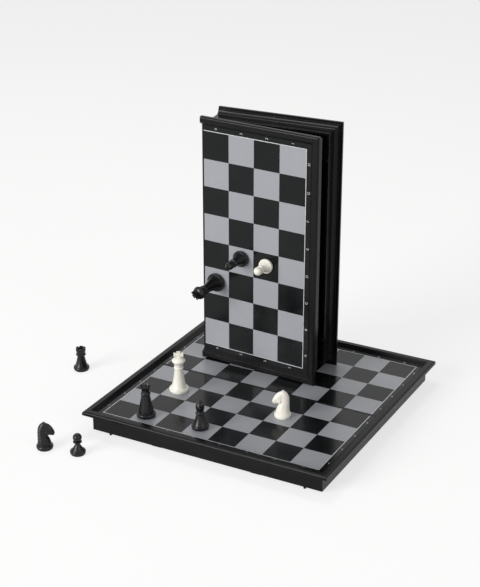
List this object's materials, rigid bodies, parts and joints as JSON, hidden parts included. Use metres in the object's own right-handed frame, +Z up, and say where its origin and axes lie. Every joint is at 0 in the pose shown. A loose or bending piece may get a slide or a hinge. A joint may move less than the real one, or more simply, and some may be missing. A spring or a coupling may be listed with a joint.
{
  "type": "magnetic chess set",
  "caption": "Folding magnetic chess set: open board lying flat, a second board standing nearly shut on it, and turned chessmen.",
  "frame": {"origin": "middle of the whole arrangement's footprint, on the surface it stands on", "axes": "+X along the long side of the open board, +Y away from the player, +Z up"},
  "size_m": [0.3256, 0.2952, 0.263],
  "materials": {
    "frame_plastic": "moulded satin black plastic",
    "sheet_steel": "zinc-plated sheet",
    "dark_print": "black printed satin film",
    "light_print": "silver-grey printed satin film",
    "line_print": "light silver print",
    "pin_steel": "drawn steel wire",
    "black_plastic": "moulded black plastic",
    "white_plastic": "moulded ivory plastic",
    "magnet": "pressed ferrite"
  },
  "bodies": {
    "open_back": {"open_back_shell": "frame_plastic", "open_back_steel_sheet": "sheet_steel", "open_back_dark_sheet": "dark_print", "open_back_light_squares": "light_print", "open_back_border_line": "line_print", "open_hinge_pins": "pin_steel"},
    "open_front": {"open_front_shell": "frame_plastic", "open_front_steel_sheet": "sheet_steel", "open_front_dark_sheet": "dark_print", "open_front_light_squares": "light_print", "open_front_border_line": "line_print"},
    "standing_back": {"standing_back_shell": "frame_plastic", "standing_back_steel_sheet": "sheet_steel", "standing_back_dark_sheet": "dark_print", "standing_back_light_squares": "light_print", "standing_back_border_line": "line_print", "standing_hinge_pins": "pin_steel"},
    "standing_front": {"standing_front_shell": "frame_plastic", "standing_front_steel_sheet": "sheet_steel", "standing_front_dark_sheet": "dark_print", "standing_front_light_squares": "light_print", "standing_front_border_line": "line_print"},
    "black_queen": {"black_queen": "black_plastic", "black_queen_magnet": "magnet"},
    "white_king": {"white_king": "white_plastic", "white_king_magnet": "magnet"},
    "black_bishop": {"black_bishop": "black_plastic", "black_bishop_magnet": "magnet"},
    "white_knight": {"white_knight": "white_plastic", "white_knight_magnet": "magnet"},
    "standing_king": {"standing_king": "black_plastic", "standing_king_magnet": "magnet"},
    "standing_bishop": {"standing_bishop": "black_plastic", "standing_bishop_magnet": "magnet"},
    "standing_pawn": {"standing_pawn": "white_plastic", "standing_pawn_magnet": "magnet"},
    "loose_rook": {"loose_rook": "black_plastic", "loose_rook_magnet": "magnet"},
    "loose_knight": {"loose_knight": "black_plastic", "loose_knight_magnet": "magnet"},
    "loose_pawn": {"loose_pawn": "black_plastic", "loose_pawn_magnet": "magnet"}
  },
  "joints": [
    {"name": "open_board_fold", "type": "hinge", "parent": "open_back", "child": "open_front", "pos_m": [0.04039, 0.02344, 0.0022], "axis": [1, 0, 0], "range_deg": [0, 180]},
    {"name": "standing_board_lift", "type": "slide", "parent": "open_back", "child": "standing_back", "axis": [0, 0, 1], "range_m": [0, 0.06]},
    {"name": "standing_board_fold", "type": "hinge", "parent": "standing_back", "child": "standing_front", "pos_m": [-0.04421, 0.07564, 0.1406], "axis": [0, 0, -1], "range_deg": [-7.2, 50]},
    {"name": "black_queen_lift", "type": "slide", "parent": "open_front", "child": "black_queen", "axis": [0, 0, 1], "range_m": [0, 0.03]},
    {"name": "white_king_lift", "type": "slide", "parent": "open_front", "child": "white_king", "axis": [0, 0, 1], "range_m": [0, 0.03]},
    {"name": "black_bishop_lift", "type": "slide", "parent": "open_front", "child": "black_bishop", "axis": [0, 0, 1], "range_m": [0, 0.03]},
    {"name": "white_knight_lift", "type": "slide", "parent": "open_front", "child": "white_knight", "axis": [0, 0, 1], "range_m": [0, 0.03]},
    {"name": "standing_king_pull", "type": "slide", "parent": "standing_front", "child": "standing_king", "axis": [-0.0558, -0.9984, 0], "range_m": [0, 0.03]},
    {"name": "standing_bishop_pull", "type": "slide", "parent": "standing_front", "child": "standing_bishop", "axis": [-0.0558, -0.9984, 0], "range_m": [0, 0.03]},
    {"name": "standing_pawn_pull", "type": "slide", "parent": "standing_front", "child": "standing_pawn", "axis": [-0.0558, -0.9984, 0], "range_m": [0, 0.03]},
    {"name": "loose_rook_lift", "type": "slide", "parent": "open_back", "child": "loose_rook", "axis": [0, 0, 1], "range_m": [0, 0.03]},
    {"name": "loose_knight_lift", "type": "slide", "parent": "open_back", "child": "loose_knight", "axis": [0, 0, 1], "range_m": [0, 0.03]},
    {"name": "loose_pawn_lift", "type": "slide", "parent": "open_back", "child": "loose_pawn", "axis": [0, 0, 1], "range_m": [0, 0.03]}
  ]
}
